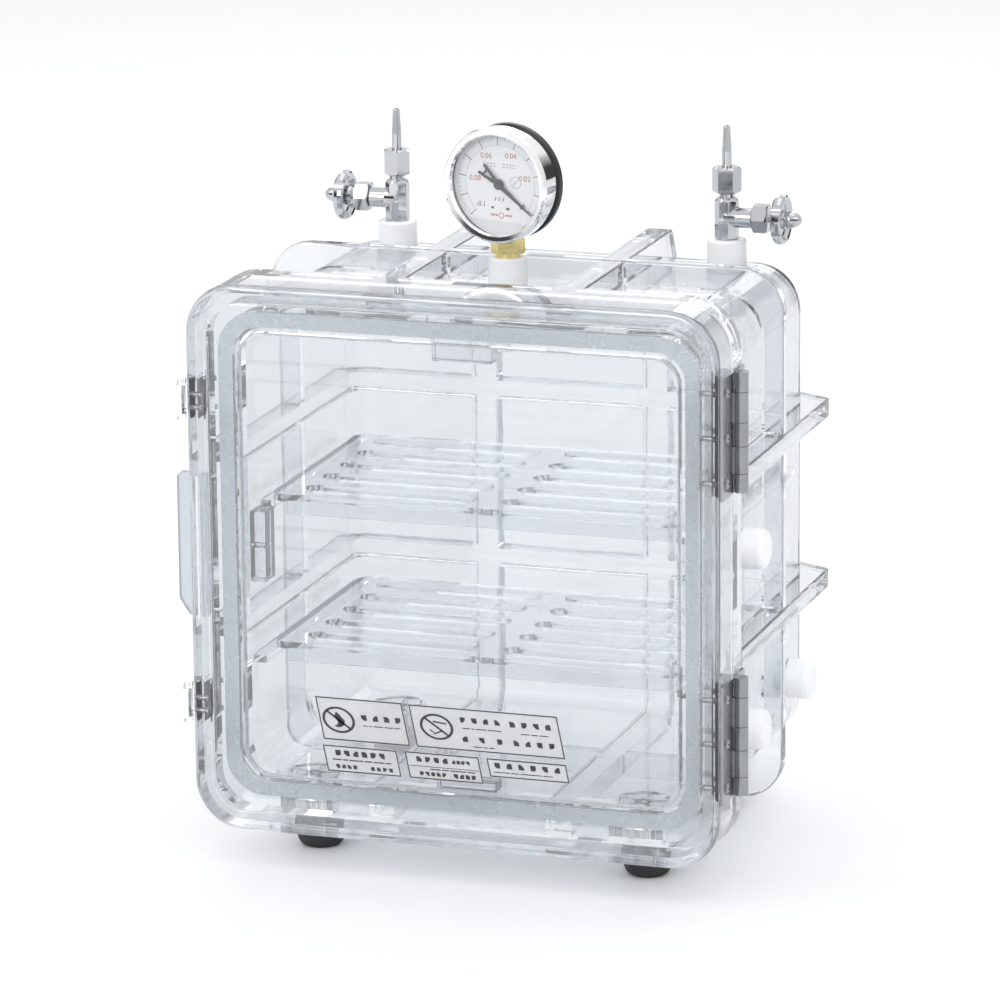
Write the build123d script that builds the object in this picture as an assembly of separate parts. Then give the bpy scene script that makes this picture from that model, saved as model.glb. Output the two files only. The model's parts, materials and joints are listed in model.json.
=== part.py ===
from build123d import *
import math
import os

# Clear plastic vacuum desiccator cabinet, millimetres.
# The geometry is laid out about the centre of the door's front face:
# +X to the right, +Y to the back, +Z up. save() then moves every piece to
# the reference frame: origin under the middle of the object, on the surface
# that the feet stand on.

# ---------------------------------------------------------------- dimensions
# reference frame
X_SHIFT = 2.7            # half the difference between left and right overhang
Y_SHIFT = -117.75        # half the depth, front of the door to the rear ribs
Z_FLOOR = -173.2         # foot bottoms below the door's centre

# door
DOOR_W, DOOR_H, DOOR_R = 300.0, 306.5, 28.0
DOOR_BACK = 27.2
DOOR_STEP = 2.0          # raised outer rim
RIM_W = 10.5
PANE_BACK = 20.0         # thick pane: it carries the full load of the vacuum
PANE_HALF = 125.0
GASKET_IN, GASKET_OUT, GASKET_FRONT, GASKET_BACK = 127.8, 136.2, 22.0, 27.8
TAB_X, TAB_Z0, TAB_Z1 = -164.0, -38.0, 42.5

# chamber
CH_FRONT, CH_FLANGE_BACK = 28.0, 46.0
BOX_HALF, WALL = 137.0, 10.0
CAV_HALF = BOX_HALF - WALL
BOX_BACK, CAV_BACK = 222.0, 214.0
BOX_R, CAV_R = 26.0, 17.0
MID_Y0, MID_Y1, MID_W, MID_H = 129.5, 137.5, 298.0, 301.0
RIB_OUT, RIB_BACK = 150.0, 235.5
TOP_RIB_X, TOP_RIB_T = 51.0, 14.5
SIDE_RIB_Z, SIDE_RIB_T = (53.0, -46.0), 11.0
SHELF_Z = (22.0, -62.0)  # undersides of the shelves
SHELF_T = 4.0
SHELF_ROWS, SHELF_PITCH, SHELF_SLOT = 5, 28.0, 13.0
FOOT_X, FOOT_Y = 95.0, (51.0, 190.0)
BOSS_BOTTOM = -153.25

# ports
GAUGE_Y = 104.0
VALVE_X, VALVE_Y = 97.0, 198.6
SOCKET_TOP_GAUGE, SOCKET_TOP_VALVE = 155.3, 151.6
PLUGS = {"side_plug_upper": (90.0, 4.0), "side_plug_lower": (90.0, -98.0),
         "side_plug_rear": (183.0, -95.0)}
PLUG_R, PLUG_OUT, PLUG_SHANK = 11.2, 151.8, 6.5

# gauge
GAUGE_Z, GAUGE_TURN = 196.7, -11.0
GAUGE_R = 32.0
NEEDLE_REST = -38.0      # degrees above the dial's horizontal

# hinges
HINGE_X, HINGE_Y = 154.6, 28.0
HINGE_Z, HINGE_L = (84.5, -83.5), 66.0
BARREL_R, PIN_R, PIN_CLEAR = 4.0, 1.6, 0.05
LEAF_T = 1.6

# latches
LATCH_Z = (87.0, -84.0)
LEVER_U, LEVER_Y = 4.6, 17.0     # lever pivot: out from the door side, and depth
BAIL_U, BAIL_Y = 4.0, 9.0        # bail pivot
BAIL_END_U, BAIL_END_Y = 4.65, 36.4
WIRE_R, ARM_Z = 0.9, 10.4

os.makedirs("parts", exist_ok=True)
TO_FRAME = Location((X_SHIFT, Y_SHIFT, -Z_FLOOR))
written = []


def save(name, *shapes):
    """Write one node, as one solid or as a group of separate solids."""
    solids = []
    for s in shapes:
        solids += [x.moved(TO_FRAME) for x in s.solids()]
    body = solids[0] if len(solids) == 1 else Compound(children=solids)
    export_step(body, "parts/" + name + ".step")
    written.append((name, len(solids)))


# ---------------------------------------------------------------- helpers
def at_y(y):
    return Plane(origin=(0, y, 0), x_dir=(1, 0, 0), z_dir=(0, -1, 0))


def prism_y(sketch, y0, y1):
    return extrude(at_y(y0) * sketch, amount=y1 - y0, dir=(0, 1, 0))


def prism_x(sketch, x0, x1):
    pl = Plane(origin=(x0, 0, 0), x_dir=(0, 1, 0), z_dir=(1, 0, 0))
    return extrude(pl * sketch, amount=x1 - x0, dir=(1, 0, 0))


def prism_z(sketch, z0, z1):
    return extrude(Plane.XY.offset(z0) * sketch, amount=z1 - z0, dir=(0, 0, 1))


def block(x0, x1, y0, y1, z0, z1):
    return Pos((x0 + x1) / 2, (y0 + y1) / 2, (z0 + z1) / 2) * Box(
        abs(x1 - x0), abs(y1 - y0), abs(z1 - z0))


def rod(p, d, r, length):
    return Solid.make_cylinder(r, length, Plane(origin=p, z_dir=d))


def lathe(pts, p, d, arc=360.0):
    """Turned part: closed profile of (radius, height) along d from p."""
    face = make_face(Polyline(*[(r, 0, h) for r, h in pts], close=True))
    return Plane(origin=p, z_dir=d) * revolve(face, Axis.Z, arc)


def hexbar(af, length, cham, p, d, spin=0.0):
    """Hexagon bar with turned corners on both ends."""
    rc = af / math.sqrt(3)
    bar = extrude(Rot(0, 0, spin) * RegularPolygon(rc, 6), amount=length)
    k = cham * 0.58
    turn = lathe([(0, 0), (rc - cham, 0), (rc + 0.01, k), (rc + 0.01, length - k),
                  (rc - cham, length), (0, length)], (0, 0, 0), (0, 0, 1))
    return Plane(origin=p, z_dir=d) * (bar & turn)


def ring_y(w, h, r, w2, h2, r2, y0, y1):
    return prism_y(RectangleRounded(w, h, r) - RectangleRounded(w2, h2, r2), y0, y1)


def fil(shape, edges, r):
    """Fillet that is left out where the edges do not take it."""
    try:
        return fillet(edges, r)
    except Exception:
        print("fillet left out", r)
        return shape


# ---------------------------------------------------------------- door
door = prism_y(RectangleRounded(DOOR_W, DOOR_H, DOOR_R), 0, DOOR_BACK)
door = fil(door, door.faces().sort_by(Axis.Y)[0].edges(), 3.0)
door -= prism_y(RectangleRounded(DOOR_W - 2 * RIM_W, DOOR_H - 2 * RIM_W, DOOR_R - 9), -1, DOOR_STEP)
inner = prism_y(RectangleRounded(2 * PANE_HALF, 2 * PANE_HALF, 15.0), PANE_BACK, DOOR_BACK + 1)
inner = fil(inner, inner.faces().sort_by(Axis.Y)[0].edges(), 1.5)
door -= inner
door -= ring_y(2 * GASKET_OUT, 2 * GASKET_OUT, 22, 2 * GASKET_IN, 2 * GASKET_IN, 16,
               GASKET_FRONT, DOOR_BACK + 1)
# light channel moulded round the back of the rim, outside the gasket
door -= ring_y(2 * 145.0, 2 * 148.2, 23.5, 2 * 139.6, 2 * 142.8, 20.5, 8.0, DOOR_BACK + 1)
tab = prism_y(Polygon((TAB_X, TAB_Z1), (TAB_X, TAB_Z0 + 9), (TAB_X + 6, TAB_Z0), (-149.0, TAB_Z0),
                      (-149.0, TAB_Z1), align=None), 19.5, 24.5)
tab = fil(tab, tab.edges().filter_by(Axis.Y).group_by(Axis.X)[0], 3.0)
door += tab

door_screw_z = [zc + k for zc in HINGE_Z for k in (-24.5, 0.0, 24.5)]
LEAF_SCREW_Y, BODY_SCREW_Y = 11.0, 39.5
for z in door_screw_z:
    door -= rod((DOOR_W / 2 + 1, LEAF_SCREW_Y, z), (-1, 0, 0), 1.6, 13.5)
LATCH_RIVETS = [(8.0, -3.6), (8.0, 3.6)]
KEEPER_RIVETS = [(42.5, -8.0), (42.5, 8.0)]
for zc in LATCH_Z:
    for y, dz in LATCH_RIVETS:
        door -= rod((-DOOR_W / 2 - 1, y, zc + dz), (1, 0, 0), 1.5, 8.0)
save("door", door)

gasket = ring_y(2 * GASKET_OUT, 2 * GASKET_OUT, 22, 2 * GASKET_IN, 2 * GASKET_IN, 16,
                GASKET_FRONT, GASKET_BACK)
save("door_gasket", gasket)

# five thin films on the pane; each is a slightly sheared rectangle
LABELS = [(-79.35, -73.0, 50.1, 24.3), (-25.6, -73.35, 84.8, 23.75),
          (-75.35, -100.15, 42.8, 15.0), (-28.1, -99.95, 42.5, 15.1), (18.8, -99.95, 45.4, 10.55)]
SHEAR = 0.2
films = []
for lx, lz, lw, lh in LABELS:
    films.append(prism_y(Polygon((lx, lz), (lx + lw, lz), (lx + lw + SHEAR * lh, lz - lh),
                                 (lx + SHEAR * lh, lz - lh), align=None),
                         DOOR_STEP - 0.25, DOOR_STEP))
save("door_label", *films)

# ---------------------------------------------------------------- chamber
box = prism_y(RectangleRounded(2 * BOX_HALF, 2 * BOX_HALF, BOX_R), CH_FRONT, BOX_BACK)
box = fil(box, box.faces().sort_by(Axis.Y)[-1].edges(), 16.0)
flange = prism_y(RectangleRounded(DOOR_W, DOOR_H, DOOR_R), CH_FRONT, CH_FLANGE_BACK)
flange = fil(flange, flange.faces().sort_by(Axis.Y)[-1].edges(), 2.0)
mid = prism_y(RectangleRounded(MID_W, MID_H, 24.0), MID_Y0, MID_Y1)
mid = fil(mid, mid.faces().sort_by(Axis.Y)[-1].edges() + mid.faces().sort_by(Axis.Y)[0].edges(), 1.4)
chamber = box + flange + mid


def hoop_profile():
    """Half-plane outline of a rib that runs along both sides and round the back."""
    return Polygon((CH_FLANGE_BACK - 4, -RIB_OUT), (223.0, -RIB_OUT), (RIB_BACK, -127.0),
                   (RIB_BACK, 127.0), (223.0, RIB_OUT), (CH_FLANGE_BACK - 4, RIB_OUT), align=None)


for x in (-TOP_RIB_X, TOP_RIB_X):
    rib = prism_x(hoop_profile(), x - TOP_RIB_T / 2, x + TOP_RIB_T / 2)
    rib = fil(rib, rib.edges().filter_by(Axis.X), 3.5)
    rib = fil(rib, rib.faces().sort_by(Axis.X)[0].edges() + rib.faces().sort_by(Axis.X)[-1].edges(), 1.2)
    chamber += rib
for z in SIDE_RIB_Z:
    prof = Polygon(*[(b, a) for a, b in [(CH_FLANGE_BACK - 4, -RIB_OUT), (223.0, -RIB_OUT),
                                         (RIB_BACK, -127.0), (RIB_BACK, 127.0), (223.0, RIB_OUT),
                                         (CH_FLANGE_BACK - 4, RIB_OUT)]], align=None)
    rib = prism_z(prof, z - SIDE_RIB_T / 2, z + SIDE_RIB_T / 2)
    rib = fil(rib, rib.edges().filter_by(Axis.Z), 3.5)
    rib = fil(rib, rib.faces().sort_by(Axis.Z)[0].edges() + rib.faces().sort_by(Axis.Z)[-1].edges(), 1.2)
    chamber += rib

# foot bosses under the floor, hollow with five webs
for fx in (-FOOT_X, FOOT_X):
    for fy in FOOT_Y:
        chamber += rod((fx, fy, BOSS_BOTTOM), (0, 0, 1), 16.0, -BOSS_BOTTOM - BOX_HALF + 2)

cavity = prism_y(RectangleRounded(2 * CAV_HALF, 2 * CAV_HALF, CAV_R), CH_FRONT - 1, CAV_BACK)
cavity = fil(cavity, cavity.faces().sort_by(Axis.Y)[-1].edges(), 5.0)
chamber -= cavity

for fx in (-FOOT_X, FOOT_X):
    for fy in FOOT_Y:
        cells = Circle(13.2) - Circle(5.0)
        for k in range(5):
            cells -= Rot(0, 0, 90 + 72 * k) * (Pos(8.5, 0) * Rectangle(18, 2.4))
        chamber -= Pos(fx, fy, 0) * prism_z(cells, BOSS_BOTTOM - 1, -140.5)
        chamber -= rod((fx, fy, BOSS_BOTTOM - 1), (0, 0, 1), 1.6, 13.0)

# shelf ledges on both side walls
for z in SHELF_Z:
    for s in (-1, 1):
        y0 = 58.0 if z > 0 else 40.0
        led = block(s * 118.5, s * (CAV_HALF + 1), y0, 205.0, z - 4.0, z)
        chamber += led

# holes for the ports and the fixings
chamber -= rod((0, GAUGE_Y, 120), (0, 0, 1), 7.0, 25)
for x in (-VALVE_X, VALVE_X):
    chamber -= rod((x, VALVE_Y, 120), (0, 0, 1), 7.0, 25)
for y, z in PLUGS.values():
    chamber -= rod((120, y, z), (1, 0, 0), PLUG_SHANK + 0.05, 25)
for z in door_screw_z:
    chamber -= rod((DOOR_W / 2 + 1, BODY_SCREW_Y, z), (-1, 0, 0), 1.6, 13.5)
for zc in LATCH_Z:
    for y, dz in KEEPER_RIVETS:
        chamber -= rod((-DOOR_W / 2 - 1, y, zc + dz), (1, 0, 0), 1.5, 9.0)
save("chamber_body", chamber)

# blocks in the middle of each side of the mouth
pads = [block(-CAV_HALF, -117.5, 39, 54, -20, 20), block(117.5, CAV_HALF, 39, 54, -20, 20),
        block(-17, 17, 30, 42, 113, CAV_HALF), block(-17, 17, 30, 42, -CAV_HALF, -121)]
pads = [fil(p, p.edges(), 0.9) for p in pads]
pads = [pads[0] - rod((-128, 46.5, 0), (1, 0, 0), 1.7, 12), pads[1] - rod((116, 46.5, 0), (1, 0, 0), 1.7, 12),
        pads[2], pads[3]]
save("mouth_blocks", *pads)

# ---------------------------------------------------------------- shelves
def shelf(z):
    plate = block(-121.5, 121.5, 57.0, 203.0, z, z + SHELF_T)
    plate = fil(plate, plate.edges().filter_by(Axis.Z), 8.0)
    lip = block(-112.0, 112.0, 57.0, 60.5, z - 7.0, z + 0.5)
    plate += lip
    for k in range(SHELF_ROWS):
        for xc in (-57.0, 57.0):
            plate -= Pos(xc, 76.0 + k * SHELF_PITCH, z + SHELF_T / 2) * extrude(
                SlotOverall(100.0, SHELF_SLOT), amount=10, both=True)
    return plate


save("shelf_upper", shelf(SHELF_Z[0]))
save("shelf_lower", shelf(SHELF_Z[1]))

# ---------------------------------------------------------------- top sockets
def socket(x, y, top, r):
    return lathe([(0, 104), (4.6, 104), (4.6, 120.5), (7.0, 120.5), (7.0, BOX_HALF), (r + 0.3, BOX_HALF),
                  (r, top - 1.0), (r - 1.0, top), (0, top)], (x, y, 0), (0, 0, 1)) \
        - rod((x, y, 140), (0, 0, 1), 5.0, 40) - rod((x, y, 100), (0, 0, 1), 2.6, 60)


save("gauge_socket", socket(0, GAUGE_Y, SOCKET_TOP_GAUGE, 10.6))
save("valve_socket_left", socket(-VALVE_X, VALVE_Y, SOCKET_TOP_VALVE, 10.9))
save("valve_socket_right", socket(VALVE_X, VALVE_Y, SOCKET_TOP_VALVE, 10.9))

nuts = []
for x, y in ((0, GAUGE_Y), (-VALVE_X, VALVE_Y), (VALVE_X, VALVE_Y)):
    nuts.append(hexbar(18.0, 6.0, 1.2, (x, y, CAV_HALF - 6.0), (0, 0, 1), 0) - rod((x, y, 110), (0, 0, 1), 7.0, 20))
save("socket_lock_nuts", *nuts)

# ---------------------------------------------------------------- side plugs
PLUG_BASE = BOX_HALF + 1.3
for name, (y, z) in PLUGS.items():
    plug = lathe([(0, 123.0), (5.5, 123.0), (PLUG_SHANK, 124.0), (PLUG_SHANK, PLUG_BASE), (PLUG_R, PLUG_BASE),
                  (PLUG_R, PLUG_OUT - 3.2), (PLUG_R - 0.8, PLUG_OUT - 1.2), (PLUG_R - 2.6, PLUG_OUT), (0, PLUG_OUT)],
                 (0, y, z), (1, 0, 0))
    save(name, plug)
save("plug_washers", *[lathe([(6.8, BOX_HALF), (10.4, BOX_HALF), (10.4, BOX_HALF + 1.2), (6.8, BOX_HALF + 1.2)],
                             (0, y, z), (1, 0, 0)) for y, z in PLUGS.values()])

# ---------------------------------------------------------------- gauge
gx = Pos(0, GAUGE_Y, 0) * Rot(0, 0, GAUGE_TURN)


def g_lathe(pts):
    """Turned about the gauge's own axis; heights run from front (-) to back (+)."""
    return gx * lathe(pts, (0, 0, GAUGE_Z), (0, 1, 0))


stem = lathe([(0, 140), (5.0, 140), (5.0, SOCKET_TOP_GAUGE), (6.6, SOCKET_TOP_GAUGE), (6.6, 157.2),
              (0, 157.2)], (0, GAUGE_Y, 0), (0, 0, 1))
stem += hexbar(16.5, 9.6, 0.9, (0, GAUGE_Y, 157.2), (0, 0, 1), 12)
stem = stem - g_lathe([(0, -16), (32.4, -16), (32.4, 6), (0, 6)])
stem += gx * block(-4.6, 4.6, -4.6, 3.2, 165.5, 181.0)
stem += rod((0, GAUGE_Y, 158), (0, 0, 1), 4.6, 9) & (gx * block(-9, 9, -4.6, 3.2, 150, 185))
stem = stem - rod((0, GAUGE_Y, 130), (0, 0, 1), 1.6, 46)
save("gauge_stem", stem)

case = g_lathe([(0, 4.0), (29.3, 4.0), (29.3, -10.0), (30.6, -10.0), (30.6, 5.2), (0, 5.2)])
case -= gx * block(-5.2, 5.2, -5.2, 3.8, 160, 172)
save("gauge_case", case)
save("gauge_back_ring", g_lathe([(30.65, 1.4), (31.7, 1.4), (31.9, 2.4), (31.9, 5.0), (31.0, 6.0), (26.0, 6.6), (26.0, 5.25),
                                 (30.65, 5.25)]) - gx * block(-6.5, 6.5, -6, 7, 160, 168))
save("gauge_bezel", g_lathe([(27.3, -13.6), (28.2, -14.8), (30.4, -15.2), (31.6, -14.4), (32.0, -12.8), (32.0, -5.2),
                             (31.4, -4.8), (30.7, -4.8), (30.7, -10.1), (29.2, -10.1), (29.2, -13.0), (27.3, -13.0)]))
save("gauge_lens", g_lathe([(0, -12.9), (29.1, -12.9), (29.1, -11.3), (0, -11.3)]))
dial = g_lathe([(1.5, -7.2), (28.9, -7.2), (28.9, -6.4), (1.5, -6.4)])
save("gauge_dial", dial)

needle = lathe([(0, -10.2), (2.2, -10.2), (2.9, -9.6), (2.9, -8.6), (1.2, -8.6), (1.2, 2.6), (0, 2.6)], (0, 0, 0), (0, 1, 0))
blade = prism_y(Polygon((0, -1.35), (17.5, -0.6), (18.2, -1.5), (19.4, -0.55), (25.8, -0.2), (25.8, 0.2), (19.4, 0.55),
                        (18.2, 1.5), (17.5, 0.6), (0, 1.35), align=None), -9.5, -9.0)
tail = prism_y(Polygon((0, -1.2), (-13.4, -3.4), (-13.8, -2.2), (-10.9, -1.3), (-10.9, 1.3), (-13.8, 2.2), (-13.4, 3.4),
                       (0, 1.2), align=None)
               - Polygon((-4.6, 0), (-9.9, -1.55), (-9.9, 1.55), align=None), -9.5, -9.0)
needle = needle + blade + tail
needle = gx * (Pos(0, 0, GAUGE_Z) * (Rot(0, -NEEDLE_REST, 0) * needle))
save("gauge_needle", needle)

# curved pressure tube and the plate that carries the pointer's arbor
tube = make_face(Polyline((19.6, 0, -4.4), (22.4, 0, -4.4), (22.4, 0, 1.6), (19.6, 0, 1.6), close=True))
tube = revolve(tube, Axis.Z, 250)
tube = fil(tube, tube.edges().filter_by(GeomType.CIRCLE), 1.0)
tube = Rot(0, 0, -174) * tube
tube = gx * (Plane(origin=(0, 0, GAUGE_Z), z_dir=(0, 1, 0), x_dir=(1, 0, 0)) * tube)
tube = tube + gx * block(4.6, 9.2, -4.0, 1.4, 175.2, 178.4)
save("gauge_bourdon_tube", tube)
plate = block(-9, 9, -5.2, -4.0, -9, 8) + block(-9, 9, 2.0, 3.0, -9, 8)
for px, pz in ((-7.4, -7.4), (7.4, -7.4), (-7.4, 6.4), (7.4, 6.4)):
    plate += rod((px, -5.0, pz), (0, 1, 0), 1.2, 8.0)
plate = plate - rod((0, -10, 0), (0, 1, 0), 1.3, 20)
save("gauge_movement", gx * (Pos(0, 0, GAUGE_Z) * plate))

# ---------------------------------------------------------------- needle valves
ARM_ZV = 164.0
NUT_TOP, TUBE_R, TUBE_SHANK_R = 192.2, 2.75, 2.3


def valve(side, name):
    ax = side * VALVE_X
    out = (side, 0, 0)

    def ox(k):
        return ax + side * k

    body = lathe([(0, 141.0), (5.0, 141.0), (5.0, SOCKET_TOP_VALVE), (5.9, SOCKET_TOP_VALVE), (6.9, 152.8), (6.9, 172.6),
                  (5.2, 174.9), (4.2, 174.9), (4.2, 181.0), (0, 181.0)], (ax, VALVE_Y, 0), (0, 0, 1))
    octo = prism_z(Rot(0, 0, 22.5) * RegularPolygon(6.3 / math.cos(math.pi / 8), 8), 140, 182)
    body = body & (Pos(ax, VALVE_Y, 0) * octo)
    arm = lathe([(0, 0), (7.0, 0), (6.0, 6.2), (6.0, 15.0), (5.2, 15.6), (5.2, 17.5), (0, 17.5)],
                (ax, VALVE_Y, ARM_ZV), out)
    body = body + arm
    body = body - rod((ax, VALVE_Y, 130), (0, 0, 1), 1.6, 60)
    body = body - rod((ox(1.0), VALVE_Y, ARM_ZV), out, 2.2, 30)
    save(name + "_body", body)

    nut = hexbar(15.0, 8.6, 1.3, (ox(15.7), VALVE_Y, ARM_ZV), out, 30)
    nut = nut - rod((ox(15.0), VALVE_Y, ARM_ZV), out, 5.2, 2.5) - rod((ox(15), VALVE_Y, ARM_ZV), out, 2.2, 12)
    save(name + "_packing_nut", nut)

    spindle = lathe([(0, 3.2), (0.3, 3.2), (1.5, 6.6), (2.15, 6.8), (2.15, 38.0), (0, 38.0)],
                    (ax, VALVE_Y, ARM_ZV), out)
    save(name + "_spindle", spindle)

    wheel = lathe([(2.15, 27.0), (4.6, 27.0), (5.4, 28.6), (5.6, 30.6), (9.6, 30.9), (11.2, 28.9), (12.6, 28.4),
                   (13.8, 29.4), (14.2, 31.4), (13.8, 33.4), (12.6, 34.4), (11.2, 33.9), (9.6, 32.1), (5.4, 32.4),
                   (5.0, 34.0), (2.15, 34.0)], (ax, VALVE_Y, ARM_ZV), out)
    for k in range(6):
        a = math.radians(30 + 60 * k)
        wheel = wheel - rod((ox(26), VALVE_Y + 16.6 * math.cos(a), ARM_ZV + 16.6 * math.sin(a)), out, 3.6, 10)
    save(name + "_handwheel", wheel)

    cap = lathe([(2.15, 34.05), (4.3, 34.05), (4.6, 34.8), (4.6, 37.4), (4.1, 39.6), (3.0, 41.6), (1.6, 42.8), (0, 43.2),
                 (0, 38.0), (2.15, 38.0)], (ax, VALVE_Y, ARM_ZV), out)
    save(name + "_cap_nut", cap)

    tn = hexbar(14.2, 14.6, 1.9, (ax, VALVE_Y, 177.6), (0, 0, 1), 10 * side)
    tn = tn - rod((ax, VALVE_Y, 177), (0, 0, 1), 4.2, 4.0) - rod((ax, VALVE_Y, 180), (0, 0, 1), TUBE_SHANK_R, 15)
    save(name + "_tube_nut", tn)

    noz = lathe([(1.0, 181.0), (TUBE_SHANK_R, 181.0), (TUBE_SHANK_R, NUT_TOP), (TUBE_R, NUT_TOP), (TUBE_R, 201.0), (1.95, 214.6), (1.6, 215.2), (1.0, 215.2)],
                (ax, VALVE_Y, 0), (0, 0, 1))
    save(name + "_hose_tube", noz)


valve(-1, "valve_left")
valve(1, "valve_right")

# ---------------------------------------------------------------- hinges
# knuckles from the top down; the body leaf has the first, third and fifth
CUTS = [0.0, 11.0, 27.5, 40.5, 55.5, HINGE_L]


def leaf(zc, own, y0, y1, ybar, bore):
    """Hinge leaf: plate on the side face, knuckles on the common axis."""
    top = zc + HINGE_L / 2
    toward = 1 if ybar > y0 else -1
    plate = block(DOOR_W / 2, DOOR_W / 2 + LEAF_T, y0, y1, top - HINGE_L, top)
    for i in range(5):
        if i in own:
            z1, z0 = top - CUTS[i] - 0.15, top - CUTS[i + 1] + 0.15
            plate += rod((HINGE_X, HINGE_Y, z0), (0, 0, 1), BARREL_R, z1 - z0)
            plate += block(DOOR_W / 2 + 0.6, DOOR_W / 2 + LEAF_T + 0.8, min(y1, HINGE_Y + toward * 0.2),
                           max(y1, HINGE_Y + toward * 0.2), z0, z1)
    plate -= rod((HINGE_X, HINGE_Y, top - HINGE_L - 1), (0, 0, 1), bore, HINGE_L + 2)
    return plate


names = ("upper", "lower")
d_screws, b_screws = [], []
for nm, zc in zip(names, HINGE_Z):
    dl = leaf(zc, (1, 3), 3.6, 23.8, HINGE_Y, PIN_R + PIN_CLEAR)
    bl = leaf(zc, (0, 2, 4), 45.0, 32.2, HINGE_Y, PIN_R)
    for k in (-24.5, 0.0, 24.5):
        for lst, y in ((d_screws, LEAF_SCREW_Y), (b_screws, BODY_SCREW_Y)):
            lst.append(lathe([(0, -12.4), (1.1, -12.4), (1.6, -11.2), (1.6, LEAF_T), (2.9, LEAF_T), (2.9, LEAF_T + 0.5),
                              (2.0, LEAF_T + 1.4), (0, LEAF_T + 1.6)], (DOOR_W / 2, y, zc + k), (1, 0, 0))
                       - block(DOOR_W / 2 + LEAF_T + 0.9, 160, y - 2.2, y + 2.2, zc + k - 0.35, zc + k + 0.35)
                       - block(DOOR_W / 2 + LEAF_T + 0.9, 160, y - 0.35, y + 0.35, zc + k - 2.2, zc + k + 2.2))
        dl -= rod((DOOR_W / 2 - 1, LEAF_SCREW_Y, zc + k), (1, 0, 0), 1.6, 4)
        bl -= rod((DOOR_W / 2 - 1, BODY_SCREW_Y, zc + k), (1, 0, 0), 1.6, 4)
    save("hinge_" + nm + "_door_leaf", dl)
    save("hinge_" + nm + "_body_leaf", bl)
    top = zc + HINGE_L / 2
    save("hinge_" + nm + "_pin", rod((HINGE_X, HINGE_Y, top - HINGE_L + 0.2), (0, 0, 1), PIN_R, HINGE_L - 0.4))
save("hinge_door_screws", *d_screws)
save("hinge_body_screws", *b_screws)

# ---------------------------------------------------------------- draw latches
SX = -DOOR_W / 2


def ub(u0, u1, y0, y1, z0, z1):
    return block(SX - u1, SX - u0, y0, y1, z0, z1)


pins, l_rivets, k_rivets = [], [], []
for nm, zc in zip(names, LATCH_Z):
    base = ub(0, 1.2, 4.0, 24.0, zc - 11, zc + 11)
    base = fil(base, base.edges().filter_by(Axis.X), 2.5)
    for s in (-1, 1):
        ear = ub(1.0, LEVER_U + 1.6, 12.4, LEVER_Y + 1.6, zc + s * 6.2, zc + s * 7.2)
        ear = fil(ear, ear.edges().filter_by(Axis.Z).group_by(Axis.X)[0], 1.55)
        base += ear
    base -= rod((SX - LEVER_U, LEVER_Y, zc - 12), (0, 0, 1), 1.0, 24)
    for y, dz in LATCH_RIVETS:
        base -= rod((SX + 1, y, zc + dz), (-1, 0, 0), 1.5, 4)
    save("latch_" + nm + "_base", base)

    # pressed lever: narrow channel with a wide rounded grip at its free end
    lev = ub(6.6, 7.8, 5.4, 18.4, zc - 9.0, zc + 9.0)
    grip = prism_x(Polygon((2.6, zc + 8.6), (4.4, zc + 11.6), (6.2, zc + 11.6), (6.2, zc - 11.6), (4.4, zc - 11.6),
                           (2.6, zc - 8.6), align=None), SX - 7.8, SX - 6.6)
    grip += ub(3.6, 7.0, 2.6, 3.6, zc - 8.2, zc + 8.2)
    lev += grip
    for s in (-1, 1):
        fl = ub(2.3, 7.0, 4.8, 18.4, zc + s * 8.0, zc + s * 9.0)
        lev += fl
    lev = fil(lev, lev.edges().filter_by(Axis.Z).group_by(Axis.X)[0], 0.9)
    lev -= rod((SX - LEVER_U, LEVER_Y, zc - 12), (0, 0, 1), 1.05, 24)
    lev -= rod((SX - BAIL_U, BAIL_Y, zc - 12), (0, 0, 1), WIRE_R + 0.05, 24)
    save("latch_" + nm + "_lever", lev)

    p0, p1 = (SX - BAIL_U, BAIL_Y), (SX - BAIL_END_U, BAIL_END_Y)
    ln = math.hypot(p1[0] - p0[0], p1[1] - p0[1])
    dv = ((p1[0] - p0[0]) / ln, (p1[1] - p0[1]) / ln, 0)
    bail = rod((p1[0], p1[1], zc - ARM_Z), (0, 0, 1), WIRE_R, 2 * ARM_Z)
    for s in (-1, 1):
        bail += rod((p0[0], p0[1], zc + s * ARM_Z), dv, WIRE_R, ln)
        bail += Pos(p0[0], p0[1], zc + s * ARM_Z) * Sphere(WIRE_R)
        bail += Pos(p1[0], p1[1], zc + s * ARM_Z) * Sphere(WIRE_R)
        bail += rod((p0[0], p0[1], zc + s * 7.6), (0, 0, s), WIRE_R, ARM_Z - 7.6)
    save("latch_" + nm + "_bail", bail)

    keep = ub(0, 1.2, 29.6, 48.0, zc - 12, zc + 12)
    keep = fil(keep, keep.edges().filter_by(Axis.X), 2.5)
    keep += ub(1.0, 3.4, 33.4, 34.6, zc - 7.0, zc + 7.0)
    for y, dz in KEEPER_RIVETS:
        keep -= rod((SX + 1, y, zc + dz), (-1, 0, 0), 1.5, 4)
    save("latch_" + nm + "_keeper", keep)

    pins.append(rod((SX - LEVER_U, LEVER_Y, zc - 9.2), (0, 0, 1), 1.0, 18.4))
    for y, dz in LATCH_RIVETS:
        l_rivets.append(lathe([(0, -6.8), (1.5, -6.8), (1.5, 1.2), (2.1, 1.2), (1.7, 1.9), (0, 2.1)],
                              (SX, y, zc + dz), (-1, 0, 0)))
    for y, dz in KEEPER_RIVETS:
        k_rivets.append(lathe([(0, -7.8), (1.5, -7.8), (1.5, 1.2), (2.6, 1.2), (2.2, 2.2), (0, 2.6)],
                              (SX, y, zc + dz), (-1, 0, 0)))
save("latch_pivot_pins", *pins)
save("latch_base_rivets", *l_rivets)
save("latch_keeper_rivets", *k_rivets)

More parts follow.
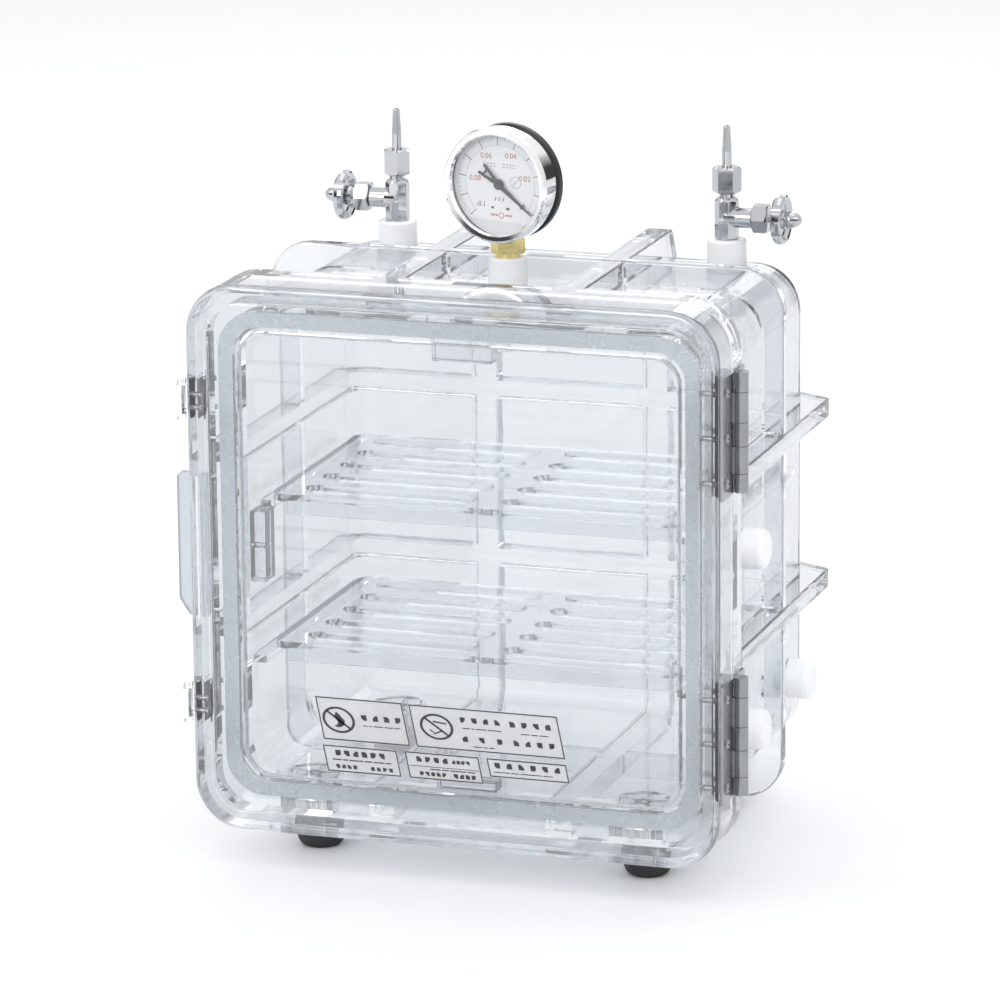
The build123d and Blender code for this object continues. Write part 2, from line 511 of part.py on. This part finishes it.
# ---------------------------------------------------------------- feet
feet, f_screws = [], []
for fx in (-FOOT_X, FOOT_X):
    for fy in FOOT_Y:
        foot = lathe([(1.6, BOSS_BOTTOM), (13.6, BOSS_BOTTOM), (13.7, -157.0), (13.7, -165.5), (13.3, -168.4),
                      (12.2, -171.0), (10.6, -172.6), (9.2, Z_FLOOR), (4.4, Z_FLOOR), (4.4, -168.0), (1.6, -168.0)],
                     (fx, fy, 0), (0, 0, 1))
        feet.append(foot)
        f_screws.append(lathe([(0, -171.0), (3.0, -170.6), (3.8, -169.4), (3.8, -168.0), (1.6, -168.0), (1.6, -142.4),
                               (0, -141.5)], (fx, fy, 0), (0, 0, 1)))
save("rubber_feet", *feet)
save("foot_screws", *f_screws)

print(len(written), "nodes")
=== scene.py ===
import json
import math

import bmesh
import bpy
from mathutils import Matrix, Vector


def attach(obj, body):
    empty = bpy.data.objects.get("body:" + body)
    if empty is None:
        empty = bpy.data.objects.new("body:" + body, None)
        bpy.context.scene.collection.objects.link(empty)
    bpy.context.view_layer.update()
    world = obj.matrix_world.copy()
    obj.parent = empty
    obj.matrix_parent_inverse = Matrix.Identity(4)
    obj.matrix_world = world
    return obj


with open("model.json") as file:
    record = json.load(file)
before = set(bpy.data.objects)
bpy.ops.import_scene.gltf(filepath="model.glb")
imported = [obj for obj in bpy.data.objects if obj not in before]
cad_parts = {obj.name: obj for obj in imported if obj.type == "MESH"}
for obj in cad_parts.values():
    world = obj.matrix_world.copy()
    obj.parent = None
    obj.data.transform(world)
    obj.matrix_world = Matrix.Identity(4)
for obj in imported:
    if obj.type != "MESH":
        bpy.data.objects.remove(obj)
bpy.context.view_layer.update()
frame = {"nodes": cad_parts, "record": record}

nodes = frame["nodes"]
slots_of = {s["node"]: s["material_slot"] for s in frame["record"]["subparts"]}

# offsets from the layout about the door's front centre (mm) to the row frame (m)
DX, DY, DZ = 2.7, -117.75, 173.2


def P(x, y, z):
    return Vector(((x + DX) / 1000, (y + DY) / 1000, (z + DZ) / 1000))


# ------------------------------------------------------------------ materials
class Mat:
    """Small helper for node materials that use the object's own coordinates."""

    def __init__(self, name):
        self.m = bpy.data.materials.new(name)
        self.m.use_nodes = True
        self.t = self.m.node_tree
        self.n = self.t.nodes
        self.n.clear()
        self.out = self.n.new("ShaderNodeOutputMaterial")
        self.b = self.n.new("ShaderNodeBsdfPrincipled")
        self.t.links.new(self.b.outputs[0], self.out.inputs[0])
        self.tc = self.n.new("ShaderNodeTexCoord")

    def link(self, a, b):
        self.t.links.new(a, b)

    def coords(self, scale=(1, 1, 1), rot=(0, 0, 0)):
        mp = self.n.new("ShaderNodeMapping")
        mp.inputs["Scale"].default_value = scale
        mp.inputs["Rotation"].default_value = rot
        self.link(self.tc.outputs["Object"], mp.inputs["Vector"])
        return mp.outputs[0]

    def noise(self, scale, detail=3, rough=0.5, dist=0.0, stretch=(1, 1, 1), rot=(0, 0, 0)):
        nz = self.n.new("ShaderNodeTexNoise")
        nz.inputs["Scale"].default_value = scale
        nz.inputs["Detail"].default_value = detail
        nz.inputs["Roughness"].default_value = rough
        nz.inputs["Distortion"].default_value = dist
        self.link(self.coords(stretch, rot), nz.inputs["Vector"])
        return nz.outputs[0]

    def ramp(self, fac, stops):
        r = self.n.new("ShaderNodeValToRGB")
        el = r.color_ramp.elements
        while len(el) < len(stops):
            el.new(0.5)
        for e, (p, c) in zip(el, stops):
            e.position = p
            e.color = c if len(c) == 4 else (*c, 1)
        self.link(fac, r.inputs[0])
        return r.outputs[0]

    def remap(self, fac, lo, hi, a=0.3, b=0.7):
        r = self.n.new("ShaderNodeMapRange")
        r.inputs["From Min"].default_value = a
        r.inputs["From Max"].default_value = b
        r.inputs["To Min"].default_value = lo
        r.inputs["To Max"].default_value = hi
        self.link(fac, r.inputs["Value"])
        return r.outputs[0]

    def bump(self, *heights):
        """heights: (socket, strength, distance in metres), stacked."""
        last = None
        for h, s, d in heights:
            bp = self.n.new("ShaderNodeBump")
            bp.inputs["Strength"].default_value = s
            bp.inputs["Distance"].default_value = d
            self.link(h, bp.inputs["Height"])
            if last is not None:
                self.link(last, bp.inputs["Normal"])
            last = bp.outputs[0]
        self.link(last, self.b.inputs["Normal"])

    def set(self, **kw):
        for k, v in kw.items():
            key = k.replace("_", " ")
            if hasattr(v, "is_linked") or isinstance(v, bpy.types.NodeSocket):
                self.link(v, self.b.inputs[key])
            else:
                if isinstance(v, tuple) and len(v) == 3 and key in ("Base Color", "Specular Tint", "Coat Tint"):
                    v = (*v, 1)
                self.b.inputs[key].default_value = v
        return self


def lets_lamps_through(k, tint):
    """Lamps reach what is behind clear plastic, as they do behind a thin clear wall."""
    mix = k.n.new("ShaderNodeMixShader")
    path = k.n.new("ShaderNodeLightPath")
    see = k.n.new("ShaderNodeBsdfTransparent")
    see.inputs["Color"].default_value = (*tint, 1)
    k.link(path.outputs["Is Shadow Ray"], mix.inputs[0])
    k.link(k.b.outputs[0], mix.inputs[1])
    k.link(see.outputs[0], mix.inputs[2])
    k.link(mix.outputs[0], k.out.inputs["Surface"])


def clear_plastic(name, tint_a, tint_b, rough=(0.0, 0.03), wave=0.05, clear=0.975, depth=0.6, shade=(0.955, 0.96, 0.97)):
    """Moulded polycarbonate: clear, with soft moulding waves, faint haze patches and handling marks."""
    k = Mat(name)
    base = k.ramp(k.noise(7, 2, 0.5), [(0.3, tint_a), (0.7, tint_b)])
    haze = k.noise(28, 4, 0.6, 0.4)
    k.set(Base_Color=base, Roughness=k.remap(haze, rough[0], rough[1], 0.35, 0.75), IOR=1.585,
          Transmission_Weight=clear, Specular_IOR_Level=0.5)
    k.bump((k.noise(14, 2, 0.4), wave, 0.004), (k.noise(420, 2, 0.5), 0.02, 0.0002))
    if depth:
        vol = k.n.new("ShaderNodeVolumeAbsorption")
        vol.inputs["Color"].default_value = (0.55, 0.52, 0.50, 1)
        vol.inputs["Density"].default_value = depth
        k.link(vol.outputs[0], k.out.inputs["Volume"])
    lets_lamps_through(k, shade)
    return k.m


def chrome(name, col=(0.88, 0.89, 0.9), rough=(0.035, 0.11)):
    """Bright plating: faint polishing lines, small dull patches, tiny pits."""
    k = Mat(name)
    lines = k.noise(260, 3, 0.6, 0.0, (1, 1, 9), (0.3, 0.2, 0))
    patch = k.noise(55, 4, 0.6)
    c2 = tuple(x * 0.93 for x in col)
    k.set(Base_Color=k.ramp(patch, [(0.35, col), (0.75, c2)]), Metallic=1.0,
          Roughness=k.remap(patch, rough[0], rough[1], 0.35, 0.75))
    k.bump((lines, 0.05, 0.00004), (k.noise(1400, 2, 0.5), 0.04, 0.00003))
    return k.m


def steel(name, col=(0.36, 0.37, 0.38), axis=(1, 1, 0.04)):
    """Rolled sheet with fine grain along one way and duller handling marks."""
    k = Mat(name)
    grain = k.noise(1500, 3, 0.6, 0.0, axis)
    patch = k.noise(40, 4, 0.6)
    k.set(Base_Color=k.ramp(patch, [(0.3, col), (0.75, tuple(x * 0.8 for x in col))]), Metallic=1.0,
          Roughness=k.remap(grain, 0.12, 0.30, 0.3, 0.7))
    k.bump((grain, 0.10, 0.00004))
    return k.m


def brass(name):
    k = Mat(name)
    turn = k.noise(900, 2, 0.5, 0.0, (0.06, 0.06, 1))
    tarn = k.noise(60, 5, 0.6)
    k.set(Base_Color=k.ramp(tarn, [(0.3, (0.98, 0.83, 0.38)), (0.6, (0.95, 0.79, 0.34)), (0.85, (0.80, 0.62, 0.27))]),
          Metallic=1.0, Roughness=k.remap(turn, 0.16, 0.34, 0.3, 0.7))
    k.bump((turn, 0.12, 0.00005))
    return k.m


def milky(name, col, rough, sss, grain=0.10, bump_scale=900):
    """Moulded polypropylene or silicone: light gets a little way in."""
    k = Mat(name)
    patch = k.noise(45, 4, 0.55)
    fine = k.noise(bump_scale, 2, 0.5)
    k.set(Base_Color=k.ramp(patch, [(0.3, col), (0.75, tuple(x * 0.975 for x in col))]),
          Roughness=k.remap(patch, rough - 0.06, rough + 0.08), Subsurface_Weight=sss,
          Subsurface_Scale=0.004, Subsurface_Radius=(1.0, 0.95, 0.9))
    k.bump((fine, grain, 0.00006), (k.noise(70, 2, 0.5), 0.05, 0.0004))
    return k.m


def clear_silicone(name):
    """Soft seal: nearly clear, with a dull moulded skin and a faint cloud inside."""
    k = Mat(name)
    cloud = k.noise(60, 4, 0.6)
    k.set(Base_Color=k.ramp(cloud, [(0.3, (0.965, 0.97, 0.975)), (0.75, (0.94, 0.948, 0.955))]), IOR=1.41,
          Roughness=k.remap(cloud, 0.20, 0.34), Transmission_Weight=0.85)
    k.bump((k.noise(800, 2, 0.5), 0.03, 0.00003))
    lets_lamps_through(k, (0.95, 0.955, 0.96))
    return k.m


def rubber(name):
    k = Mat(name)
    patch = k.noise(80, 5, 0.6)
    k.set(Base_Color=k.ramp(patch, [(0.3, (0.014, 0.014, 0.016)), (0.8, (0.045, 0.045, 0.047))]),
          Roughness=k.remap(patch, 0.55, 0.8))
    k.bump((k.noise(1100, 3, 0.6), 0.25, 0.00012))
    return k.m


def paint(name, a, b, rough=0.4, grain=0.08, scale=900):
    k = Mat(name)
    patch = k.noise(60, 4, 0.6)
    k.set(Base_Color=k.ramp(patch, [(0.3, a), (0.75, b)]), Roughness=k.remap(patch, rough - 0.06, rough + 0.1))
    k.bump((k.noise(scale, 2, 0.5), grain, 0.00004))
    return k.m


M = {
    "clear_plastic": clear_plastic("clear_polycarbonate", (0.815, 0.832, 0.850), (0.842, 0.856, 0.872)),
    "gauge_glass": clear_plastic("gauge_window", (0.985, 0.99, 0.993), (0.995, 0.997, 0.998), (0.0, 0.008), 0.01, 1.0, 0, (0.98, 0.985, 0.99)),
    "white_silicone": clear_silicone("silicone_seal"),
    "white_plastic": milky("white_polypropylene", (0.925, 0.935, 0.95), 0.36, 0.35),
    "brass": brass("brass_turned"),
    "chrome": chrome("gauge_chrome", (0.94, 0.945, 0.95)),
    "black_paint": paint("black_enamel", (0.012, 0.012, 0.014), (0.03, 0.03, 0.032), 0.33),
    "dial_white": paint("dial_white", (0.90, 0.905, 0.915), (0.86, 0.868, 0.88), 0.55, 0.06, 1500),
    "valve_chrome": chrome("valve_chrome", (0.55, 0.56, 0.575), (0.03, 0.10)),
    "steel": steel("hinge_steel"),
    "latch_steel": chrome("latch_bright_steel", (0.92, 0.925, 0.93), (0.06, 0.16)),
    "black_rubber": rubber("black_rubber"),
}

# label film: thin, grey, half clear, with a slightly uneven print
k = Mat("label_film")
k.set(Base_Color=k.ramp(k.noise(120, 4, 0.6), [(0.3, (0.74, 0.75, 0.76)), (0.75, (0.82, 0.825, 0.83))]),
      Roughness=k.remap(k.noise(260, 3, 0.5), 0.28, 0.45), Alpha=0.55)
k.bump((k.noise(700, 2, 0.5), 0.05, 0.00004))
M["label_film"] = k.m
M["ink"] = paint("label_ink", (0.02, 0.02, 0.022), (0.06, 0.06, 0.065), 0.5, 0.1, 2500)
M["ink_dark"] = paint("dial_ink", (0.015, 0.015, 0.018), (0.05, 0.05, 0.055), 0.5, 0.06, 2500)
M["ink_red"] = paint("dial_ink_red", (0.42, 0.10, 0.06), (0.50, 0.15, 0.10), 0.5, 0.06, 2500)
M["ink_grey"] = paint("dial_ink_grey", (0.30, 0.31, 0.33), (0.38, 0.39, 0.41), 0.5, 0.06, 2500)

# the door's pull tab is a cloudier, tinted part of the same moulding
k = Mat("door_polycarbonate")
where = k.n.new("ShaderNodeTexCoord")
split = k.n.new("ShaderNodeSeparateXYZ")
k.link(where.outputs["Object"], split.inputs[0])
edge = min(v.co.x for v in nodes["door"].data.vertices) + 0.0128
tabmask = k.remap(split.outputs["X"], 1.0, 0.0, edge - 0.0012, edge + 0.0004)
mixc = k.n.new("ShaderNodeMixRGB")
k.link(tabmask, mixc.inputs[0])
k.link(k.ramp(k.noise(7, 2, 0.5), [(0.3, (0.815, 0.832, 0.850)), (0.7, (0.842, 0.856, 0.872))]), mixc.inputs[1])
k.link(k.ramp(k.noise(40, 4, 0.5), [(0.3, (0.60, 0.635, 0.69)), (0.7, (0.64, 0.67, 0.72))]), mixc.inputs[2])
rough = k.n.new("ShaderNodeMath")
rough.operation = "MULTIPLY_ADD"
k.link(tabmask, rough.inputs[0])
rough.inputs[1].default_value = 0.28
k.link(k.remap(k.noise(28, 4, 0.6, 0.4), 0.0, 0.03, 0.35, 0.75), rough.inputs[2])
k.set(Base_Color=mixc.outputs[0], Roughness=rough.outputs[0], IOR=1.585, Transmission_Weight=0.975, Specular_IOR_Level=0.5)
k.bump((k.noise(14, 2, 0.4), 0.05, 0.004), (k.noise(420, 2, 0.5), 0.02, 0.0002))
lets_lamps_through(k, (0.955, 0.96, 0.97))
door_mat = k.m

for name, ob in nodes.items():
    ob.data.materials.clear()
    ob.data.materials.append(door_mat if name == "door" else M[slots_of[name]])


# ------------------------------------------------------------------ flat prints
def mesh_object(name, bm, mat, body):
    me = bpy.data.meshes.new(name)
    bm.normal_update()
    bm.to_mesh(me)
    bm.free()
    ob = bpy.data.objects.new(name, me)
    bpy.context.scene.collection.objects.link(ob)
    me.materials.append(mat)
    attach(ob, body)
    return ob


class Print:
    """Thin raised ink shapes on a plane: origin o, in-plane axes a and b, towards the viewer n."""

    def __init__(self, o, a, b, n, thick=0.00006):
        self.o, self.a, self.b, self.n, self.t = o, a, b, n, thick
        self.bm = bmesh.new()

    def at(self, u, v, h):
        return self.o + self.a * (u / 1000) + self.b * (v / 1000) + self.n * h

    def poly(self, pts):
        lo = [self.bm.verts.new(self.at(u, v, 0)) for u, v in pts]
        hi = [self.bm.verts.new(self.at(u, v, self.t)) for u, v in pts]
        self.bm.faces.new(hi)
        self.bm.faces.new(lo[::-1])
        for i in range(len(pts)):
            j = (i + 1) % len(pts)
            self.bm.faces.new((lo[i], lo[j], hi[j], hi[i]))

    def rect(self, u, v, w, h):
        self.poly([(u, v), (u + w, v), (u + w, v + h), (u, v + h)])

    def line(self, u0, v0, u1, v1, w):
        d = math.hypot(u1 - u0, v1 - v0)
        x, y = -(v1 - v0) / d * w / 2, (u1 - u0) / d * w / 2
        self.poly([(u0 - x, v0 - y), (u1 - x, v1 - y), (u1 + x, v1 + y), (u0 + x, v0 + y)])

    def arc(self, u, v, r, w, a0=0.0, a1=360.0, n=64, k=1.0):
        """Ring or arc of quads, each its own closed strip of the same loop."""
        full = abs(a1 - a0) >= 359.9
        ring = []
        steps = n if full else n + 1
        for i in range(steps):
            t = math.radians(a0 + (a1 - a0) * i / n)
            c, s = math.cos(t), math.sin(t)
            ring.append([self.bm.verts.new(self.at(u + c * rr, v + k * s * rr, h))
                         for rr, h in ((r - w / 2, 0), (r + w / 2, 0), (r + w / 2, self.t), (r - w / 2, self.t))])
        for i in range(steps if full else steps - 1):
            p, q = ring[i], ring[(i + 1) % steps]
            for m in range(4):
                o = (m + 1) % 4
                self.bm.faces.new((p[m], q[m], q[o], p[o]))
        if not full:
            self.bm.faces.new(ring[0])
            self.bm.faces.new(ring[-1][::-1])

    def blob(self, pts):
        self.poly(pts)

    def done(self, name, mat, body, slot):
        bmesh.ops.recalc_face_normals(self.bm, faces=self.bm.faces)
        return mesh_object(name, self.bm, mat, body)


# window films: sheared outlines, two pictograms and rows of unreadable blocks
LABELS = [(-79.35, -73.0, 50.1, 24.3), (-25.6, -73.35, 84.8, 23.75),
          (-75.35, -100.15, 42.8, 15.0), (-28.1, -99.95, 42.5, 15.1), (18.8, -99.95, 45.4, 10.55)]
SHEAR = 0.2
film_y = 1.75


def label(i):
    lx, lz, w, h = LABELS[i]
    o = P(lx, film_y, lz)
    return Print(o, Vector((1, 0, 0)), Vector((SHEAR, 0, -1)), Vector((0, -1, 0))), w, h


def frame_lines(p, w, h, t=0.65):
    m = 0.2
    p.rect(m, m, w - 2 * m, t)
    p.rect(m, h - m - t, w - 2 * m, t)
    p.rect(m, m + t, t, h - 2 * m - 2 * t)
    p.rect(w - m - t, m + t, t, h - 2 * m - 2 * t)


def glyphs(p, u, v, n, size, gap, seed):
    """Solid blocks with one corner cut off: they read as print but as no letter."""
    for j in range(n):
        x, c = u + j * (size + gap), size * (0.30 + 0.12 * ((seed + j) % 3))
        a, b = x + size, v + size
        p.poly((((x + c, v), (a, v), (a, b), (x, b), (x, v + c)),
                ((x, v), (a - c, v), (a, v + c), (a, b), (x, b)),
                ((x, v), (a, v), (a, b - c), (a - c, b), (x, b)),
                ((x, v), (a, v), (a, b), (x + c, b), (x, b - c)))[(seed * 7 + j * 5) % 4])


def dashes(p, u, v, spans, t=0.5):
    for s in spans:
        if s > 0:
            p.rect(u, v, s, t)
        u += abs(s) + 0.8


def ban(p, u, v, r, k):
    p.arc(u, v, r - 0.75, 1.5, k=k)
    c = math.cos(math.radians(45)) * (r - 1.2)
    p.line(u - c, v - c * k, u + c, v + c * k, 1.2)


p, w, h = label(0)
frame_lines(p, w, h)
ban(p, 11.2, 12.6, 9.3, 0.79)
p.blob([(11.2 + (a - 13.2) * 1.15, 12.6 + (b - 12.4) * 0.79) for a, b in
        ((12.6, 6.6), (14.4, 9.0), (14.9, 10.6), (16.2, 12.4), (16.0, 14.4), (15.2, 16.2), (13.4, 17.6), (11.6, 17.6),
         (10.4, 16.6), (11.9, 16.0), (12.6, 14.4), (12.4, 12.8), (11.4, 11.2), (11.6, 9.0))])
glyphs(p, 24.7, 8.8, 4, 3.1, 3.4, 1)
dashes(p, 24.7, 14.6, [3.0, 1.5, 5.5, 5.0, 3.4])
p.done("label_print_1", M["ink"], "door", "label_film")

p, w, h = label(1)
frame_lines(p, w, h)
ban(p, 14.0, 11.5, 9.5, 0.76)
p.line(12.4, 8.6, 20.0, 9.4, 0.9)
p.line(11.8, 15.6, 16.6, 13.6, 0.8)
p.line(9.6, 13.4, 12.2, 15.0, 0.7)
glyphs(p, 28.4, 5.0, 4, 2.9, 3.65, 2)
glyphs(p, 56.5, 5.2, 4, 3.1, 3.65, 3)
dashes(p, 29.0, 10.8, [4.0, 2.0, 6.0, 7.6])
dashes(p, 62.0, 11.5, [5.0, 4.0, 5.0])
for j, u in enumerate((27.7, 37.2, 47.4, 56.8, 63.4, 70.1, 77.0)):
    glyphs(p, u, 15.6, 1, 3.0, 0.0, 4 + j)
dashes(p, 33.0, 20.8, [5.0, 2.5, 3.0])
p.done("label_print_2", M["ink"], "door", "label_film")

p, w, h = label(2)
frame_lines(p, w, h)
glyphs(p, 6.7, 2.6, 6, 3.1, 1.96, 6)
dashes(p, 4.2, 7.6, [5.2, 3.0, 8.0, 4.4, 6.2, 3.2], 0.7)
glyphs(p, 5.6, 10.6, 4, 2.2, 1.1, 9)
glyphs(p, 25.6, 10.6, 4, 2.2, 1.3, 12)
p.done("label_print_3", M["ink"], "door", "label_film")

p, w, h = label(3)
frame_lines(p, w, h)
glyphs(p, 6.2, 2.5, 4, 2.9, 2.1, 7)
glyphs(p, 26.5, 3.1, 4, 2.0, 0.7, 8)
p.rect(1.2, 7.7, w - 2.4, 0.35)
dashes(p, 13.0, 8.9, [6.0, 4.0, 9.0, 4.4], 0.6)
glyphs(p, 6.6, 10.8, 5, 2.2, 1.0, 10)
glyphs(p, 26.0, 10.8, 4, 2.4, 1.0, 13)
p.done("label_print_4", M["ink"], "door", "label_film")

p, w, h = label(4)
frame_lines(p, w, h)
glyphs(p, 4.0, 2.3, 6, 3.1, 3.7, 9)
dashes(p, 3.0, 7.4, [9.0, 4.5, 12.0, 5.5], 0.5)
p.done("label_print_5", M["ink"], "door", "label_film")

# ------------------------------------------------------------------ gauge dial print
turn = math.radians(-11.0)
g_o = P(0, 104.0, 196.7)
g_a = Vector((math.cos(turn), math.sin(turn), 0))
g_n = Vector((math.sin(turn), -math.cos(turn), 0))
g_b = Vector((0, 0, 1))
face = g_o + g_n * 0.0072
ZERO, FULL = -38.0, 225.0


def dial_print():
    return Print(face, g_a, g_b, g_n, 0.00005)


def ray(p, deg, r0, r1, w):
    t = math.radians(deg)
    p.line(r0 * math.cos(t), r0 * math.sin(t), r1 * math.cos(t), r1 * math.sin(t), w)


p = dial_print()
for i in range(11):
    ray(p, ZERO + (FULL - ZERO) * i / 10, 21.6, 26.2, 0.42)
p.done("dial_main_marks", M["ink_dark"], "cabinet", "dial_white")
p = dial_print()
for i in range(51):
    if i % 5:
        ray(p, ZERO + (FULL - ZERO) * i / 50, 24.2, 26.0, 0.18)
p.arc(0, 0, 21.5, 0.16, ZERO, FULL, 96)
p.arc(0, 0, 26.1, 0.14, ZERO, FULL, 96)
p.done("dial_fine_marks", M["ink_grey"], "cabinet", "dial_white")
p = dial_print()
for x0, n in ((-10.5, 4), (1.5, 4)):
    for j in range(n):
        p.rect(x0 + j * 2.1, 9.2, 1.4, 0.5)
        p.rect(x0 + j * 2.1, 10.6, 1.4, 0.5)
p.arc(9.6, 1.4, 3.2, 0.3)
p.line(7.6, -0.6, 11.6, 3.4, 0.35)
p.line(8.6, -0.8, 8.6, 3.2, 0.25)
p.done("dial_small_marks", M["ink_grey"], "cabinet", "dial_white")
p = dial_print()
for x in (-3.4, -1.0, 1.6):
    p.line(x, -9.6, x + 0.7, -7.4, 0.5)
p.rect(-5.6, -14.0, 1.5, 1.3)
p.rect(3.6, -14.2, 2.0, 1.4)
p.done("dial_lower_marks", M["ink_dark"], "cabinet", "dial_white")
p = dial_print()
p.arc(0.6, -17.4, 1.5, 0.45)
for j in range(3):
    p.rect(-5.8 + 1.5 * j, -17.9, 1.0, 1.2)
    p.rect(3.0 + 1.5 * j, -17.9, 1.0, 1.2)
p.done("dial_red_marks", M["ink_red"], "cabinet", "dial_white")


def number(text, deg, r, size, mat, name):
    cu = bpy.data.curves.new(name + "_curve", "FONT")
    cu.body = text
    cu.size = size / 1000
    cu.align_x = "CENTER"
    cu.align_y = "CENTER"
    cu.extrude = 0.00003
    cu.resolution_u = 4
    tmp = bpy.data.objects.new(name + "_tmp", cu)
    bpy.context.scene.collection.objects.link(tmp)
    bpy.context.view_layer.update()
    me = bpy.data.meshes.new_from_object(tmp)
    bpy.data.objects.remove(tmp)
    t = math.radians(deg)
    c = face + g_a * (r * math.cos(t) / 1000) + g_b * (r * math.sin(t) / 1000) + g_n * 0.00003
    rot = Matrix((g_a, g_b, g_n)).transposed()
    me.transform(Matrix.Translation(c) @ rot.to_4x4())
    ob = bpy.data.objects.new(name, me)
    bpy.context.scene.collection.objects.link(ob)
    me.materials.append(mat)
    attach(ob, "cabinet")


for i, (txt, r) in enumerate((("0", 18.6), ("0.02", 15.8), ("0.04", 17.2), ("0.06", 17.2), ("0.08", 15.8), ("-0.1", 17.0))):
    number(txt, ZERO + (FULL - ZERO) * i / 5, r, 4.3 if 0 < i < 5 else 4.0, M["ink_red"] if 0 < i < 5 else M["ink_dark"],
           "dial_number_%d" % i)

# ------------------------------------------------------------------ floor, light, camera
bm = bmesh.new()
bmesh.ops.create_grid(bm, x_segments=8, y_segments=8, size=14)
me = bpy.data.meshes.new("floor")
bm.to_mesh(me)
bm.free()
floor = bpy.data.objects.new("floor", me)
bpy.context.scene.collection.objects.link(floor)
kf = Mat("floor_pale")
kf.set(Base_Color=kf.ramp(kf.noise(1.3, 3, 0.5), [(0.3, (0.90, 0.905, 0.91)), (0.7, (0.915, 0.92, 0.925))]),
       Roughness=kf.remap(kf.noise(30, 3, 0.5), 0.55, 0.7))
kf.bump((kf.noise(300, 2, 0.5), 0.03, 0.0002))
me.materials.append(kf.m)

world = bpy.data.worlds.new("studio")
bpy.context.scene.world = world
world.use_nodes = True
wt = world.node_tree
wt.nodes.clear()
wo = wt.nodes.new("ShaderNodeOutputWorld")
bg = wt.nodes.new("ShaderNodeBackground")
tc = wt.nodes.new("ShaderNodeTexCoord")
sx = wt.nodes.new("ShaderNodeSeparateXYZ")
wt.links.new(tc.outputs["Generated"], sx.inputs[0])


def world_ramp(axis, lo, hi, stops):
    mr = wt.nodes.new("ShaderNodeMapRange")
    mr.inputs["From Min"].default_value = lo
    mr.inputs["From Max"].default_value = hi
    wt.links.new(sx.outputs[axis], mr.inputs["Value"])
    rp = wt.nodes.new("ShaderNodeValToRGB")
    els = rp.color_ramp.elements
    while len(els) < len(stops):
        els.new(0.5)
    for e, (pos, c) in zip(els, stops):
        e.position = pos
        e.color = (c * 0.985, c * 0.993, c, 1)
    wt.links.new(mr.outputs[0], rp.inputs[0])
    return rp.outputs[0]


# a white studio ceiling over dark and light upright panels, which bright metal mirrors
panels = world_ramp("X", -1, 1, ((0.0, 0.85), (0.10, 0.85), (0.14, 0.06), (0.27, 0.06), (0.31, 0.95), (0.41, 0.95),
                                 (0.45, 0.10), (0.60, 0.12), (0.64, 0.92), (0.73, 0.92), (0.77, 0.05), (0.88, 0.05),
                                 (0.92, 0.80), (1.0, 0.80)))
ceiling = world_ramp("Z", -1, 1, ((0.0, 0.8), (0.6, 0.9), (0.75, 1.0), (1.0, 1.05)))
height = world_ramp("Z", -1, 1, ((0.0, 0.0), (0.60, 0.0), (0.74, 1.0), (1.0, 1.0)))
wm = wt.nodes.new("ShaderNodeMixRGB")
wt.links.new(height, wm.inputs[0])
wt.links.new(panels, wm.inputs[1])
wt.links.new(ceiling, wm.inputs[2])
wt.links.new(wm.outputs[0], bg.inputs["Color"])
bg.inputs["Strength"].default_value = 1.0
wt.links.new(bg.outputs[0], wo.inputs[0])


def area(name, loc, target, size, power, col=(1, 1, 1)):
    ld = bpy.data.lights.new(name, "AREA")
    ld.shape = "RECTANGLE"
    ld.size, ld.size_y = size
    ld.energy = power
    ld.color = col
    ob = bpy.data.objects.new(name, ld)
    bpy.context.scene.collection.objects.link(ob)
    ob.location = loc
    ob.rotation_euler = (Vector(target) - Vector(loc)).to_track_quat("-Z", "Y").to_euler()
    return ob


area("key_softbox", (-1.5, -1.3, 2.0), (0, 0, 0.2), (1.3, 1.3), 8)
area("right_softbox", (1.9, -0.9, 1.3), (0, 0, 0.2), (0.7, 1.5), 5)
area("top_softbox", (0.1, 0.5, 2.4), (0, 0, 0.2), (1.6, 1.6), 5)
area("front_softbox", (-0.6, -2.6, 1.2), (0, 0, 0.25), (1.6, 1.2), 16)
area("rear_softbox", (-0.6, 2.2, 1.5), (0, 0, 0.2), (1.8, 1.0), 7)

cam = bpy.data.cameras.new("camera")
co = bpy.data.objects.new("camera", cam)
bpy.context.scene.collection.objects.link(co)
cam.sensor_width = 36
cam.lens = 216
cam.clip_start, cam.clip_end = 0.05, 100
yaw, pitch, roll = 0.322590, 0.249091, -0.009882
f = Vector((-math.sin(yaw) * math.cos(pitch), math.cos(yaw) * math.cos(pitch), -math.sin(pitch)))
r0 = Vector((math.cos(yaw), math.sin(yaw), 0))
u0 = r0.cross(f)
r = r0 * math.cos(roll) + u0 * math.sin(roll)
u = -r0 * math.sin(roll) + u0 * math.cos(roll)
m = Matrix((r, u, -f)).transposed().to_4x4()
m.translation = P(1012.99, -2944.4, 834.72)
co.matrix_world = m
bpy.context.scene.camera = co

sc = bpy.context.scene
sc.view_settings.view_transform = "Standard"
sc.view_settings.look = "None"
sc.cycles.max_bounces = 28
sc.cycles.transmission_bounces = 28
sc.cycles.glossy_bounces = 8
sc.cycles.diffuse_bounces = 4
sc.cycles.transparent_max_bounces = 24
sc.cycles.use_denoising = True
